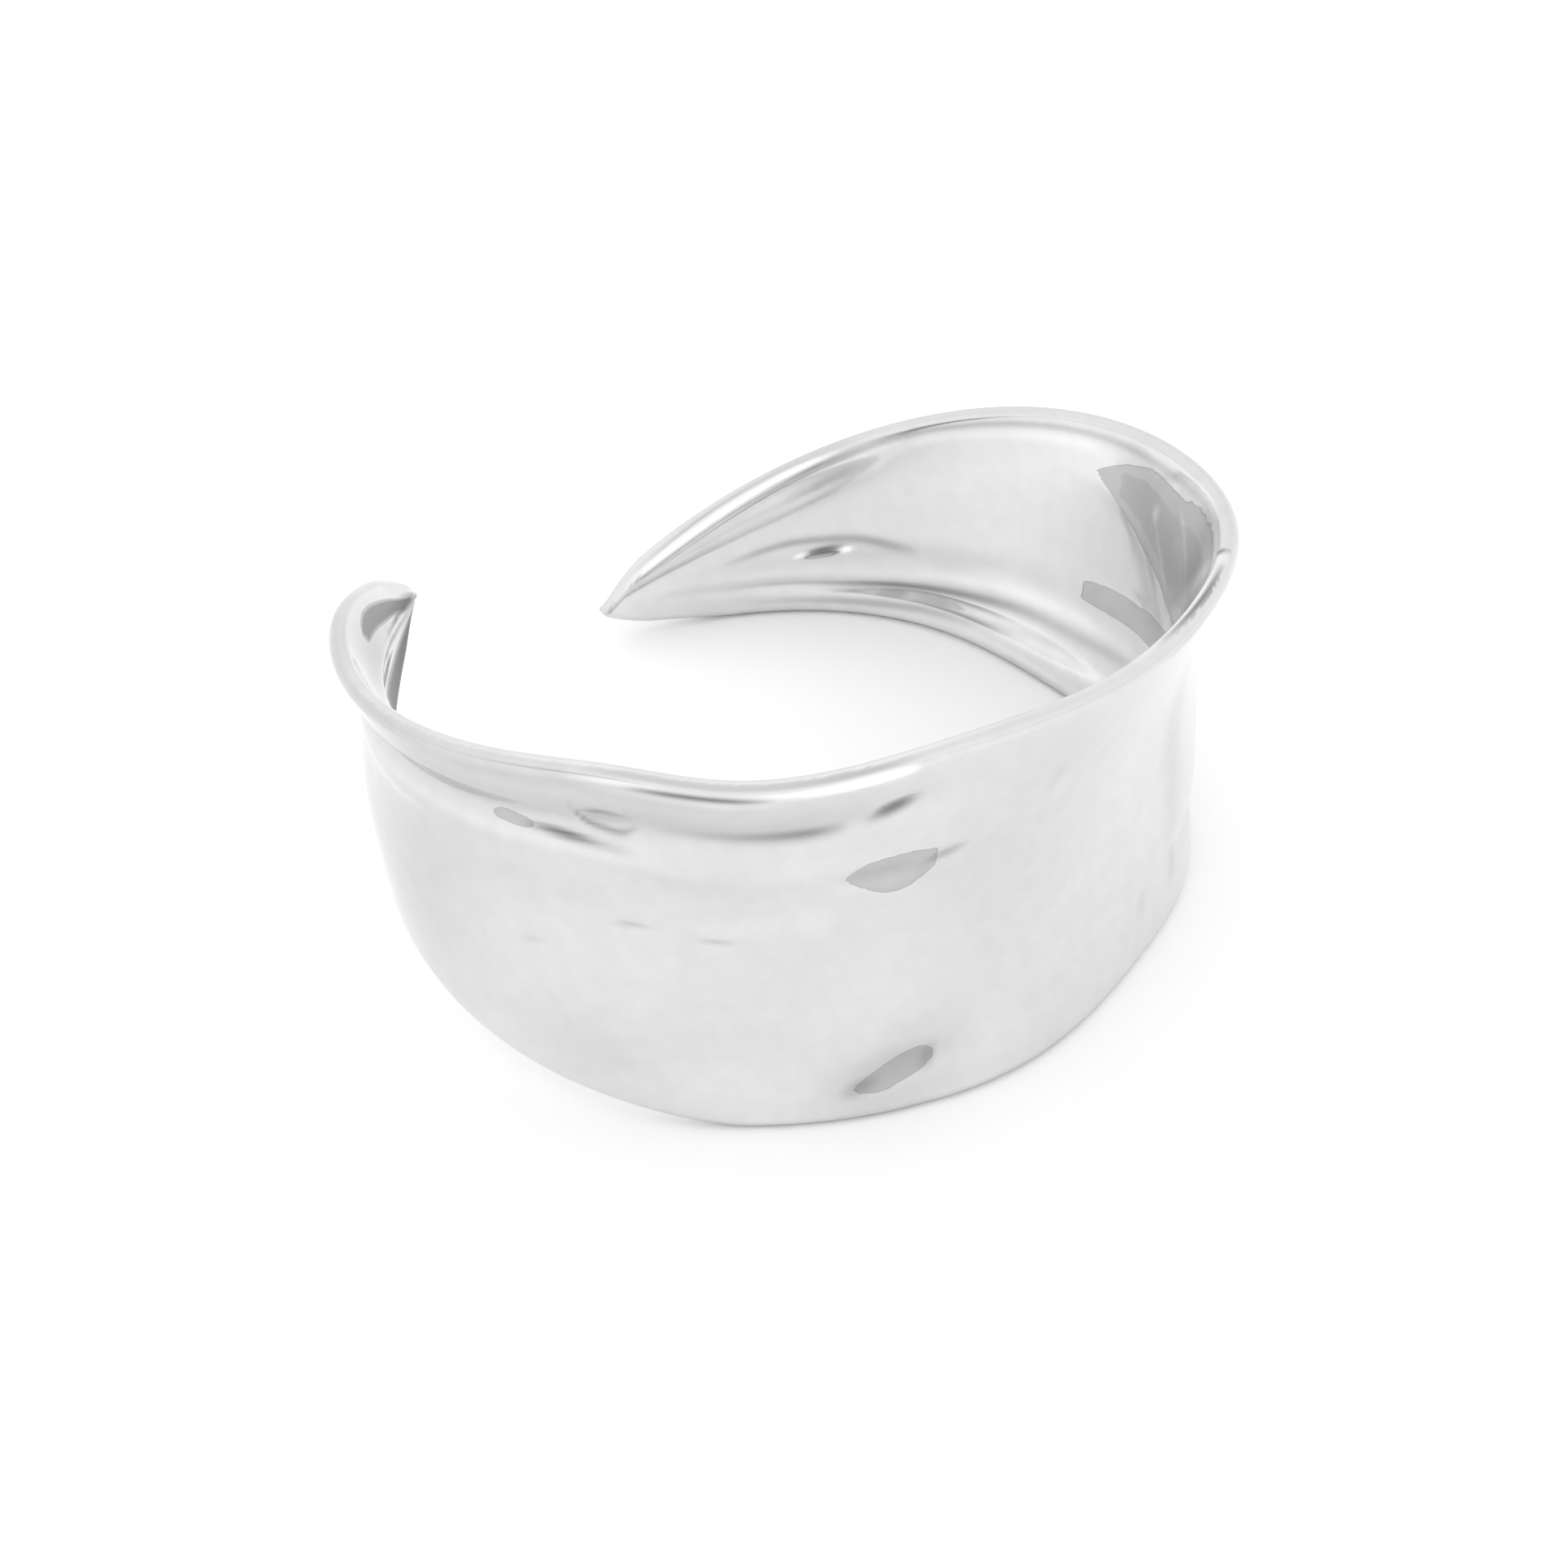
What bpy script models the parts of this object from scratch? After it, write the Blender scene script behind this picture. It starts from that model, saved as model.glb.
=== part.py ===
"""Cuff bracelet: one leaf-shaped band of polished silver, bent into an oval that stays open.

The band is wide at the front and narrows to a rounded tip at each end. It leans, so that the
left tip stands high and the right tip lies near the ground. Its rim rolls outwards, and its
lower edge rests on the ground. The opening between the tips faces +Y.

Two shares place every point of the band. s runs along it, from -1 at the left tip over 0 at
the front to 1 at the right tip. v runs up it, from 0 at the lower edge to 1 at the rim.
"""

import math

import bmesh
import bpy
import numpy as np
from mathutils import Matrix

# The oval that the middle of the wall follows, and the band on it, in metres.
OVAL_LENGTH = 0.060
OVAL_WIDTH = 0.052
BAND_HEIGHT = 0.030
WALL = 0.0014
GAP_ANGLE = math.radians(42)

# How far the rolled rim stands out of the oval, and how high the soft folds are.
REACH = 0.003
FOLD = 0.0006

# The ends are rounded from this share of each arm to its tip.
TIP_START = 0.95
TIP_TURN = math.radians(74)

# Faces along an arm, round a tip and up the band, before they are subdivided once.
ARM_FACES = 21
TIP_FACES = 3
FACES_UP = 12

# One row for each section of the band. foot and rim are its lower and upper edge, as shares of
# BAND_HEIGHT. hem, belly, shoulder and lip say how far the wall stands out of the oval at the
# heights in LEVELS, as shares of REACH.
SECTIONS = (
    ("s", "foot", "rim", "hem", "belly", "shoulder", "lip"),
    (-1.00, 0.54, 0.62, -0.20, -0.10, 0.00, 0.30),
    (-0.88, 0.37, 0.76, -0.30, -0.05, -0.05, 0.60),
    (-0.72, 0.19, 0.85, -0.25, 0.00, 0.00, 0.65),
    (-0.52, 0.07, 0.96, -0.10, 0.05, 0.00, 0.60),
    (-0.43, 0.04, 0.99, 0.10, 0.05, 0.00, 0.60),
    (-0.33, 0.00, 0.97, 0.25, 0.05, 0.05, 0.65),
    (-0.16, 0.00, 1.00, 0.60, 0.00, 0.15, 0.85),
    (0.00, 0.00, 0.97, 0.50, 0.00, 0.25, 1.10),
    (0.14, 0.00, 0.94, 0.45, 0.20, 0.35, 1.15),
    (0.28, 0.00, 0.86, 0.15, 0.33, 0.40, 1.05),
    (0.52, 0.00, 0.72, -0.72, 0.20, 0.40, 0.60),
    (0.72, 0.00, 0.53, -0.12, 0.22, 0.42, 0.68),
    (0.88, 0.00, 0.31, 0.20, 0.25, 0.40, 0.80),
    (1.00, 0.05, 0.13, 0.40, 0.40, 0.45, 0.60),
)
LEVELS = (0.00, 0.38, 0.74, 1.00)

# Long folds of the whole wall: the places along the band that each one passes, how far up the
# band it is there, and its rise there as a share of FOLD, and then its half width.
FOLDS = (
    ("name", "s", "v", "rise", "width"),
    (
        "shoulder ridge",
        (-1.00, -0.78, -0.60, -0.44, -0.27, -0.05),
        (0.44, 0.63, 0.71, 0.71, 0.68, 0.66),
        (0.00, 0.70, 0.90, 0.70, 0.40, 0.00),
        0.055,
    ),
    (
        "shoulder hollow",
        (-1.00, -0.80, -0.60, -0.44, -0.27, -0.10),
        (0.58, 0.74, 0.80, 0.82, 0.84, 0.86),
        (0.00, -0.60, -1.10, -1.00, -0.70, 0.00),
        0.060,
    ),
    (
        "upper hem ridge",
        (0.26, 0.39, 0.48, 0.58, 0.68, 0.79, 0.89, 0.98),
        (0.36, 0.33, 0.28, 0.27, 0.29, 0.33, 0.46, 0.60),
        (0.00, -0.25, -0.35, -0.40, -0.40, -0.35, -0.20, 0.00),
        0.050,
    ),
    (
        "hem groove",
        (0.26, 0.40, 0.50, 0.63, 0.75, 0.86, 0.96),
        (0.26, 0.23, 0.21, 0.19, 0.19, 0.26, 0.40),
        (0.00, 0.20, 0.30, 0.35, 0.30, 0.20, 0.00),
        0.050,
    ),
    (
        "lower hem ridge",
        (0.30, 0.42, 0.53, 0.62, 0.71, 0.81, 0.90),
        (0.20, 0.17, 0.13, 0.10, 0.10, 0.12, 0.20),
        (0.00, -0.15, -0.25, -0.25, -0.25, -0.15, 0.00),
        0.040,
    ),
    (
        "side notch",
        (0.02, 0.12, 0.21, 0.32),
        (0.22, 0.20, 0.16, 0.14),
        (0.00, -0.30, -0.60, 0.00),
        0.045,
    ),
    (
        "front hem wave",
        (-0.18, -0.08, 0.06, 0.16),
        (0.00, 0.00, 0.00, 0.00),
        (0.00, 0.60, -0.50, 0.00),
        0.120,
    ),
)


def column(name):
    """One named column of SECTIONS."""
    place = SECTIONS[0].index(name)
    return np.array([row[place] for row in SECTIONS[1:]])


def natural_spline(knots, values, at):
    """The smooth curve through (knots, values), with no bend at its two ends, read at a number.

    values may hold several curves side by side, as columns.
    """
    knots = np.asarray(knots, float)
    values = np.asarray(values, float).reshape(len(knots), -1)
    gaps = np.diff(knots)
    slopes = np.diff(values, axis=0) / gaps[:, None]
    system = np.eye(len(knots))
    bends = np.zeros(values.shape)
    for row in range(1, len(knots) - 1):
        system[row, row - 1] = gaps[row - 1]
        system[row, row] = 2 * (gaps[row - 1] + gaps[row])
        system[row, row + 1] = gaps[row]
        bends[row] = 6 * (slopes[row] - slopes[row - 1])
    bends = np.linalg.solve(system, bends)
    cell = int(np.clip(np.searchsorted(knots, at) - 1, 0, len(gaps) - 1))
    gap = gaps[cell]
    left = (knots[cell + 1] - at) / gap
    right = (at - knots[cell]) / gap
    curve = left * values[cell] + right * values[cell + 1]
    curve = curve + (left**3 - left) * bends[cell] * gap**2 / 6
    return curve + (right**3 - right) * bends[cell + 1] * gap**2 / 6


def fold_height(s, v):
    """How far the folds lift the wall out at (s, v), in metres.

    Each fold is a bell curve across v, about a level that bends with s.
    """
    height = 0.0
    for _, places, levels, rises, width in FOLDS[1:]:
        inside = min(max(s, places[0]), places[-1])
        level, rise = natural_spline(places, np.stack([levels, rises], axis=1), inside)
        height += FOLD * rise * math.exp(-(((v - level) / width) ** 2))
    return height


def band_point(s, v):
    """The middle of the wall at (s, v), in metres."""
    columns = [column(name) for name in SECTIONS[0][1:]]
    foot, rim, *reaches = natural_spline(column("s"), np.stack(columns, axis=1), s)
    foot = max(float(foot), 0.0)
    height = foot + (float(rim) - foot) * v
    out = REACH * float(natural_spline(LEVELS, reaches, v)[0])
    out += fold_height(s, v)
    turn = -math.pi / 2 + s * (math.pi - GAP_ANGLE / 2)
    x = OVAL_LENGTH / 2 * math.cos(turn)
    y = OVAL_WIDTH / 2 * math.sin(turn)
    outward = np.array([math.cos(turn) / OVAL_LENGTH, math.sin(turn) / OVAL_WIDTH])
    outward /= np.linalg.norm(outward)
    return x + outward[0] * out, y + outward[1] * out, BAND_HEIGHT * height


def arm_share(step):
    """(s, height left) of a column of the grid, step columns from the front of the band.

    Round the tip the columns follow a quarter turn, so the band ends in a round outline.
    """
    if step <= ARM_FACES:
        return TIP_START * step / ARM_FACES, 1.0
    turn = TIP_TURN * (step - ARM_FACES) / TIP_FACES
    return TIP_START + (1 - TIP_START) * math.sin(turn), math.cos(turn)


def make_silver():
    """Bright polished silver."""
    material = bpy.data.materials.new("polished_silver")
    material.use_nodes = True
    shader = material.node_tree.nodes["Principled BSDF"]
    shader.inputs["Base Color"].default_value = (0.86, 0.86, 0.87, 1)
    shader.inputs["Metallic"].default_value = 1.0
    shader.inputs["Roughness"].default_value = 0.08
    material.diffuse_color = (0.86, 0.86, 0.87, 1)
    return material


def make_band(collection, material):
    """The band: a flat grid bent round the oval, thickened, and rounded at its edges."""
    half = ARM_FACES + TIP_FACES
    mesh = bpy.data.meshes.new("cuff_band")
    build = bmesh.new()
    bmesh.ops.create_grid(build, x_segments=2 * half, y_segments=FACES_UP, size=1)
    for vertex in build.verts:
        step = round(abs(vertex.co.x) * half)
        s, left = arm_share(step)
        v = 0.5 + 0.5 * vertex.co.y * left
        vertex.co = band_point(math.copysign(s, vertex.co.x), v)
    bmesh.ops.recalc_face_normals(build, faces=build.faces)
    build.to_mesh(mesh)
    build.free()
    mesh.materials.append(material)
    mesh.shade_smooth()
    band = bpy.data.objects.new("cuff_band", mesh)
    collection.objects.link(band)
    wall = band.modifiers.new("Wall", "SOLIDIFY")
    wall.thickness = WALL
    wall.offset = 0
    wall.use_even_offset = True
    rounding = band.modifiers.new("Round edges", "SUBSURF")
    rounding.levels = 1
    rounding.render_levels = 1
    return band


def stand_on_origin(band):
    """Moves the finished band so that the middle of its bounding box's underside is the origin."""
    finished = band.evaluated_get(bpy.context.evaluated_depsgraph_get())
    corners = np.array([vertex.co for vertex in finished.data.vertices])
    middle = (corners.min(axis=0) + corners.max(axis=0)) / 2
    band.data.transform(Matrix.Translation((-middle[0], -middle[1], -corners[:, 2].min())))


def main():
    for item in list(bpy.data.objects):
        bpy.data.objects.remove(item, do_unlink=True)
    collection = bpy.data.collections.new("cuff_bracelet")
    bpy.context.scene.collection.children.link(collection)
    stand_on_origin(make_band(collection, make_silver()))


main()
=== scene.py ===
"""Looks of the cuff bracelet: the finely worked band in polished silver, and its studio.

Two shares place every point of the band. s runs along it, from -1 at the left tip over 0 at
the front to 1 at the right tip. v runs up it, from 0 at the lower edge to 1 at the rim.
"""

import math

import bmesh
import bpy
import numpy as np
from bpy.props import FloatProperty, FloatVectorProperty, PointerProperty
from bpy.types import Operator, Panel, PropertyGroup
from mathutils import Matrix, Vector


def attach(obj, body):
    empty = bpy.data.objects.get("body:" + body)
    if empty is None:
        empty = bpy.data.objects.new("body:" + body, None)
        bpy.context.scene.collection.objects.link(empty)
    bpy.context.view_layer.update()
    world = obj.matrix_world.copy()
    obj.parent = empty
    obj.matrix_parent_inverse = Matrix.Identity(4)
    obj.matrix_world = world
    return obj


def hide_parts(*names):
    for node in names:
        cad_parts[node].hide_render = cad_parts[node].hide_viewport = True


bl_info = {
    "name": "Cuff Bracelet",
    "version": (1, 0, 0),
    "blender": (4, 5, 0),
    "location": "View3D > Sidebar > Cuff",
    "description": "An open cuff bracelet of hand-worked polished silver, and its studio",
    "category": "Object",
}

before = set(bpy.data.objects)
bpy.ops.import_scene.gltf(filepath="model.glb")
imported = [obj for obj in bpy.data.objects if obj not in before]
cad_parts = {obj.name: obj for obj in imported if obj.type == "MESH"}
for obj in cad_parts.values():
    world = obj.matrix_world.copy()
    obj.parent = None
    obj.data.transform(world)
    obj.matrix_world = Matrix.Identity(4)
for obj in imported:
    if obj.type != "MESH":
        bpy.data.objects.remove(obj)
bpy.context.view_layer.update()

# The noises in the silver, each with its fineness to the metre and its detail: the soft clouds,
# the fine grain, the uneven outline of the patches, and the waves left by polishing by hand.
CLOUD_NOISE = (90, 3)
GRAIN_NOISE = (700, 4)
OUTLINE_NOISE = (900, 3)
WAVE_NOISE = (160, 2)

# Brightness of the silver over the clouds and over the grain, and the roughness that a cloud
# adds.
CLOUD_SHADES = ((0.3, 0.93), (0.7, 1.0))
GRAIN_SHADES = ((0.35, 0.965), (0.65, 1.0))
CLOUD_ROUGHNESS = 0.06

# Brightness of the silver in a painted reflection patch, from its outline to its darkest middle:
# a thin dark line, a paler margin, a step down, and the middle of the darkest patches.
# PATCH_HAZE is the share of haze on the same way. A patch whose dark value is 1 gets as far as
# PATCH_SHARE, and the noise shifts its outline by half of UNEVENNESS each way.
PATCH_SHADES = (
    (0.00, 1.00),
    (0.03, 0.56),
    (0.09, 0.72),
    (0.50, 0.75),
    (0.54, 0.66),
    (0.85, 0.62),
    (1.00, 0.43),
)
PATCH_HAZE = ((0.0, 0.0), (0.15, 1.0))
PATCH_SHARE = 0.5
UNEVENNESS = 0.24

# The tent by height, from straight below to straight overhead, where 1 is white: it is plain
# below the horizon, has its grey seam just over it, and is softer overhead. The seam is darkest
# where the cosine of the angle from its azimuth is SEAM_MIDDLE or more. SEAM_END is the cosine
# at which it has all but faded, and its brightness there.
TENT_SHADES = (
    (0.000, 1.0),
    (0.480, 1.0),
    (0.500, 0.0),
    (0.545, 0.0),
    (0.600, 1.0),
    (0.800, 1.0),
    (1.000, 0.4),
)
SEAM_END = (0.85, 0.85)
SEAM_MIDDLE = 0.97

# The studio, in metres: half the side of the floor, the soft box's distance and side, and the
# nearest and the farthest that the camera sees. The sensor's width is in millimetres.
FLOOR_REACH = 1.5
FLOOR_ROUGHNESS = 0.9
SOFT_BOX_DISTANCE = 1.2
SOFT_BOX_SIDE = 0.8
NEAREST = 0.01
FARTHEST = 10
SENSOR_WIDTH = 36

# The small step of s and of v that slopes are taken over, the depth of the close rows at an
# edge as a share of half the wall, and the distances in metres under which points are merged
# and slivers are taken away.
STEP = 1e-4
EDGE_ZONE = 1.2
MERGE_DISTANCE = 2e-7
SLIVER = 1e-8

# The least that is divided by: half the band's height at the very end of a tip, a vector's
# length, and half the height of a patch as a share of the band's.
LEAST_HEIGHT = 1e-9
LEAST_LENGTH = 1e-12
LEAST_PATCH = 1e-3

# One row for each section of the band. foot and rim are its lower and upper edge, as shares of
# the band's height. hem, belly, shoulder and lip say how far the wall stands out of the oval
# at the heights in LEVELS, as shares of the reach.
SECTIONS = (
    ("s", "foot", "rim", "hem", "belly", "shoulder", "lip"),
    (-1.00, 0.54, 0.62, -0.20, -0.10, 0.00, 0.30),
    (-0.88, 0.37, 0.76, -0.30, -0.05, -0.05, 0.60),
    (-0.72, 0.19, 0.85, -0.25, 0.00, 0.00, 0.65),
    (-0.52, 0.07, 0.96, -0.10, 0.05, 0.00, 0.60),
    (-0.43, 0.04, 0.99, 0.10, 0.05, 0.00, 0.60),
    (-0.33, 0.00, 0.97, 0.25, 0.05, 0.05, 0.65),
    (-0.16, 0.00, 1.00, 0.60, 0.00, 0.15, 0.85),
    (0.00, 0.00, 0.97, 0.50, 0.00, 0.25, 1.10),
    (0.14, 0.00, 0.94, 0.45, 0.20, 0.35, 1.15),
    (0.28, 0.00, 0.86, 0.15, 0.33, 0.40, 1.05),
    (0.52, 0.00, 0.72, -0.72, 0.20, 0.40, 0.60),
    (0.72, 0.00, 0.53, -0.12, 0.22, 0.42, 0.68),
    (0.88, 0.00, 0.31, 0.20, 0.25, 0.40, 0.80),
    (1.00, 0.05, 0.13, 0.40, 0.40, 0.45, 0.60),
)
LEVELS = (0.00, 0.38, 0.74, 1.00)

# Long folds of the whole wall: the places along the band that each one passes, how far up the
# band it is there, and its rise there as a share of the fold height, and then its half width.
FOLDS = (
    ("name", "s", "v", "rise", "width"),
    (
        "shoulder ridge",
        (-1.00, -0.78, -0.66, -0.55, -0.44, -0.27, -0.05),
        (0.46, 0.66, 0.71, 0.73, 0.725, 0.69, 0.66),
        (0.00, 0.50, 0.50, 0.32, 0.28, 0.22, 0.00),
        0.045,
    ),
    (
        "shoulder hollow",
        (-1.00, -0.80, -0.66, -0.55, -0.44, -0.27, -0.10),
        (0.58, 0.76, 0.80, 0.81, 0.82, 0.84, 0.86),
        (0.00, -0.70, -1.10, -0.80, -0.70, -0.55, 0.00),
        0.055,
    ),
    (
        "upper hem ridge",
        (0.26, 0.39, 0.48, 0.58, 0.68, 0.79, 0.89, 0.98),
        (0.27, 0.25, 0.24, 0.25, 0.26, 0.28, 0.38, 0.55),
        (0.00, -0.04, -0.06, -0.08, -0.10, -0.10, -0.08, 0.00),
        0.045,
    ),
    (
        "hem groove",
        (0.26, 0.40, 0.50, 0.63, 0.75, 0.86, 0.96),
        (0.17, 0.155, 0.145, 0.165, 0.20, 0.24, 0.38),
        (0.00, 0.05, 0.08, 0.12, 0.15, 0.10, 0.00),
        0.045,
    ),
    (
        "tip crease",
        (0.70, 0.80, 0.86, 0.90, 0.94, 0.97),
        (0.93, 0.93, 0.91, 0.885, 0.845, 0.81),
        (0.00, -0.25, -0.35, -0.35, -0.20, 0.00),
        0.030,
    ),
    (
        "lower hem ridge",
        (0.30, 0.42, 0.53, 0.62, 0.71, 0.81, 0.90),
        (0.12, 0.10, 0.09, 0.09, 0.10, 0.12, 0.20),
        (0.00, -0.10, -0.15, -0.15, -0.20, -0.10, 0.00),
        0.035,
    ),
    (
        "side notch",
        (0.02, 0.12, 0.21, 0.32),
        (0.22, 0.20, 0.16, 0.14),
        (0.00, -0.30, -0.60, 0.00),
        0.045,
    ),
    (
        "front hem wave",
        (-0.18, -0.08, 0.06, 0.16),
        (0.00, 0.00, 0.00, 0.00),
        (0.00, 0.60, -0.50, 0.00),
        0.120,
    ),
)

# Marks of the hammer on the outer face: place, half length along the band, half height up it,
# slant, depth as a share of the dent depth, and how much darker the silver is painted in it, a
# painted shade of the dent. A row with no depth is a painted soft shade alone, and a negative
# one is a painted light.
OUTER_DENTS = (
    ("s", "v", "along", "up", "slant", "depth", "dark"),
    (-0.207, 0.855, 0.017, 0.025, 0.5, 0.6, 0.65),
    (-0.215, 0.650, 0.030, 0.028, -0.3, 0.8, 0.00),
    (-0.158, 0.660, 0.017, 0.014, 0.3, 0.2, 0.30),
    (-0.205, 0.115, 0.045, 0.045, 0.2, 0.8, 0.10),
    (-0.175, 0.125, 0.007, 0.030, 0.3, 0.0, 0.20),
    (-0.200, 0.110, 0.060, 0.120, 0.3, 0.0, 0.09),
    (-0.233, 0.085, 0.015, 0.022, 0.3, 0.0, 0.25),
    (-0.420, 0.530, 0.016, 0.008, 0.5, 0.4, 0.20),
    (-0.347, 0.520, 0.014, 0.008, 0.0, 0.4, 0.20),
    (-0.510, 0.420, 0.012, 0.010, 0.3, 0.2, 0.08),
    (-0.478, 0.760, 0.030, 0.013, -0.6, 0.3, 0.38),
    (-0.440, 0.845, 0.020, 0.030, 0.0, 0.3, 0.10),
    (-0.700, 0.450, 0.140, 0.450, 0.0, 0.0, 0.13),
    (-0.330, 0.100, 0.070, 0.100, 0.0, 0.0, -0.06),
    (-0.470, 0.150, 0.070, 0.110, 0.0, 0.0, 0.05),
    (-0.500, 0.600, 0.070, 0.060, 0.0, 0.0, 0.04),
    (-0.300, 0.560, 0.060, 0.040, 0.3, 0.0, -0.03),
    (-0.057, 0.760, 0.010, 0.030, 0.6, 0.3, 0.05),
    (0.133, 0.150, 0.010, 0.040, 0.5, 0.4, 0.12),
    (0.070, 0.160, 0.010, 0.030, 0.5, 0.3, 0.08),
    (0.135, 0.500, 0.022, 0.300, 0.0, 0.0, 0.12),
    (0.220, 0.450, 0.016, 0.350, 0.0, 0.0, 0.08),
)

# Marks on the inner face, in the same columns, with the same painted shades and lights.
INNER_DENTS = (
    ("s", "v", "along", "up", "slant", "depth", "dark"),
    (0.789, 0.405, 0.020, 0.030, 0.0, 0.6, 0.65),
    (0.810, 0.410, 0.007, 0.020, 0.0, 0.0, -0.60),
    (0.767, 0.395, 0.007, 0.020, 0.0, 0.0, -0.60),
    (0.440, 0.820, 0.040, 0.120, 0.5, 0.3, 0.00),
    (0.370, 0.860, 0.060, 0.050, 0.0, 0.0, 0.06),
    (0.250, 0.660, 0.050, 0.060, 0.0, 0.0, -0.06),
    (0.290, 0.800, 0.040, 0.140, 0.3, 0.4, 0.00),
    (0.410, 0.440, 0.050, 0.040, 0.0, 0.4, 0.00),
    (0.392, 0.800, 0.006, 0.030, 0.0, 0.0, -0.35),
    (0.190, 0.985, 0.005, 0.014, 0.0, 0.0, 0.80),
    (0.253, 0.755, 0.075, 0.057, -4.0, 0.0, -0.35),
    (0.735, 0.935, 0.035, 0.025, 0.0, 0.0, -0.20),
    (0.800, 0.850, 0.060, 0.035, -1.5, 0.0, -0.20),
    (-0.800, 0.750, 0.090, 0.250, 0.0, 0.0, 0.14),
    (0.650, 0.040, 0.100, 0.050, 0.0, 0.0, -0.12),
    (0.365, 0.685, 0.035, 0.012, 10.0, 0.0, -0.30),
    (0.318, 0.810, 0.035, 0.012, 6.0, 0.0, -0.25),
    (-0.905, 0.550, 0.007, 0.150, 0.0, 0.0, 0.30),
    (-0.925, 0.450, 0.010, 0.200, 0.0, 0.0, -0.05),
    (-0.850, 0.600, 0.110, 0.400, 0.0, 0.0, 0.21),
    (-0.985, 0.600, 0.015, 0.120, 0.0, 0.0, -0.20),
)

# Hazy places on the inner face, where the polish is less sharp. Their first columns are those of
# the dents, and haze says how much of the silver's haze each one has.
HAZY_PLACES = (
    ("s", "v", "along", "up", "slant", "haze"),
    (0.200, 0.860, 0.100, 0.160, 0.0, 1.2),
    (0.740, 0.935, 0.045, 0.035, 0.0, 1.0),
    (0.810, 0.850, 0.060, 0.060, -1.0, 0.6),
    (-0.975, 0.620, 0.030, 0.200, 0.0, 1.0),
    (0.450, 0.920, 0.050, 0.050, 0.0, 0.8),
)

# Soft lighter or darker lines painted into the silver: painted highlights and shades that stand
# in for reflections along the folds, the rim and the hem. They have the columns of FOLDS. change
# is added to 1, and the sum multiplies the colour of the silver.
OUTER_LINES = (
    ("name", "s", "v", "change", "width"),
    # A painted highlight along the crest of the shoulder ridge.
    (
        "ridge",
        (-0.86, -0.72, -0.58, -0.46, -0.32),
        (0.62, 0.71, 0.735, 0.725, 0.70),
        (0.00, 0.05, 0.06, 0.06, 0.00),
        0.014,
    ),
    (
        "hollow",
        (-1.00, -0.80, -0.66, -0.55, -0.46, -0.36, -0.26, -0.18),
        (0.62, 0.80, 0.86, 0.86, 0.85, 0.86, 0.86, 0.87),
        (0.00, -0.22, -0.28, -0.22, -0.16, -0.12, -0.06, 0.00),
        0.080,
    ),
    (
        "shade above the ridge",
        (-0.52, -0.49, -0.46, -0.43, -0.41),
        (0.765, 0.765, 0.755, 0.745, 0.74),
        (0.00, -0.25, -0.25, -0.15, 0.00),
        0.012,
    ),
    (
        "right shade in the hollow",
        (-0.40, -0.35, -0.30, -0.26, -0.24),
        (0.835, 0.836, 0.834, 0.832, 0.835),
        (0.00, -0.20, -0.42, -0.38, 0.00),
        0.022,
    ),
    # A painted highlight along the rounded edge of the rim.
    (
        "painted highlight on the rim edge",
        (-0.47, -0.43, -0.36, -0.27, -0.21, -0.19),
        (0.985, 0.985, 0.99, 0.98, 0.98, 0.98),
        (0.00, 0.25, 0.15, 0.50, 0.60, 0.00),
        0.012,
    ),
    (
        "shade over the bead",
        (-0.46, -0.42, -0.34, -0.27, -0.21, -0.19),
        (0.997, 0.997, 0.997, 0.997, 0.997, 0.997),
        (0.00, -0.20, -0.25, -0.25, -0.25, 0.00),
        0.004,
    ),
    (
        "shade under the bead",
        (-0.42, -0.40, -0.36, -0.325, -0.30),
        (0.976, 0.976, 0.976, 0.974, 0.972),
        (0.00, -0.45, -0.65, -0.50, 0.00),
        0.009,
    ),
    (
        "light under that shade",
        (-0.46, -0.42, -0.36, -0.31, -0.28),
        (0.955, 0.955, 0.953, 0.955, 0.955),
        (0.00, 0.12, 0.15, 0.10, 0.00),
        0.010,
    ),
    (
        "shade on the right rim",
        (0.03, 0.07, 0.12, 0.17, 0.20),
        (0.975, 0.975, 0.975, 0.975, 0.975),
        (0.00, -0.30, -0.40, -0.40, 0.00),
        0.010,
    ),
    (
        "edge of the middle blob",
        (-0.47, -0.463, -0.45, -0.435, -0.42, -0.41),
        (0.89, 0.84, 0.805, 0.795, 0.80, 0.83),
        (0.00, -0.35, -0.40, -0.40, -0.30, 0.00),
        0.012,
    ),
    (
        "left end of the rim",
        (-1.00, -0.85, -0.65, -0.52, -0.42, -0.34, -0.26),
        (0.95, 0.97, 0.97, 0.96, 0.955, 0.95, 0.95),
        (0.00, -0.10, -0.14, -0.16, -0.14, -0.08, 0.00),
        0.032,
    ),
    (
        "soft shade of the front",
        (-0.75, -0.55, -0.35, -0.10, 0.05),
        (0.45, 0.55, 0.55, 0.50, 0.50),
        (0.00, -0.06, -0.07, -0.07, 0.00),
        0.280,
    ),
)
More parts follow.
